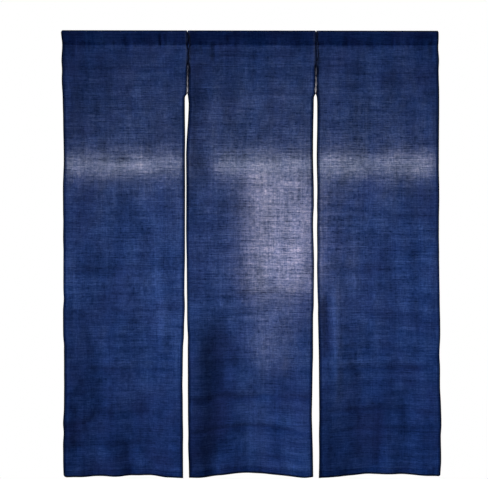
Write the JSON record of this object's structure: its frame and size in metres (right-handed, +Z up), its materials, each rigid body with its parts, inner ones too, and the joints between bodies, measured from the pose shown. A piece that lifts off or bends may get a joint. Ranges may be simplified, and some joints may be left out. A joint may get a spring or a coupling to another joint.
{
  "type": "noren curtain",
  "caption": "Split doorway curtain of indigo cloth: panels sewn edge to edge at the top with slits below, a rod pocket along the top edge and a narrow hem at the foot.",
  "frame": {"origin": "middle of the top edge, where the cloth goes over its rod", "axes": "+Z up, +X to the right as seen from the front, the front faces -Y"},
  "size_m": [1.2721, 0.0294, 1.5032],
  "materials": {
    "indigo_cloth": "matte, slubby plain weave, slightly sheer",
    "navy_thread": "matte twisted sewing thread",
    "pale_thread": "matte twisted sewing thread"
  },
  "bodies": {
    "root": {"panel_left": "indigo_cloth", "panel_middle": "indigo_cloth", "panel_right": "indigo_cloth"}
  },
  "joints": []
}
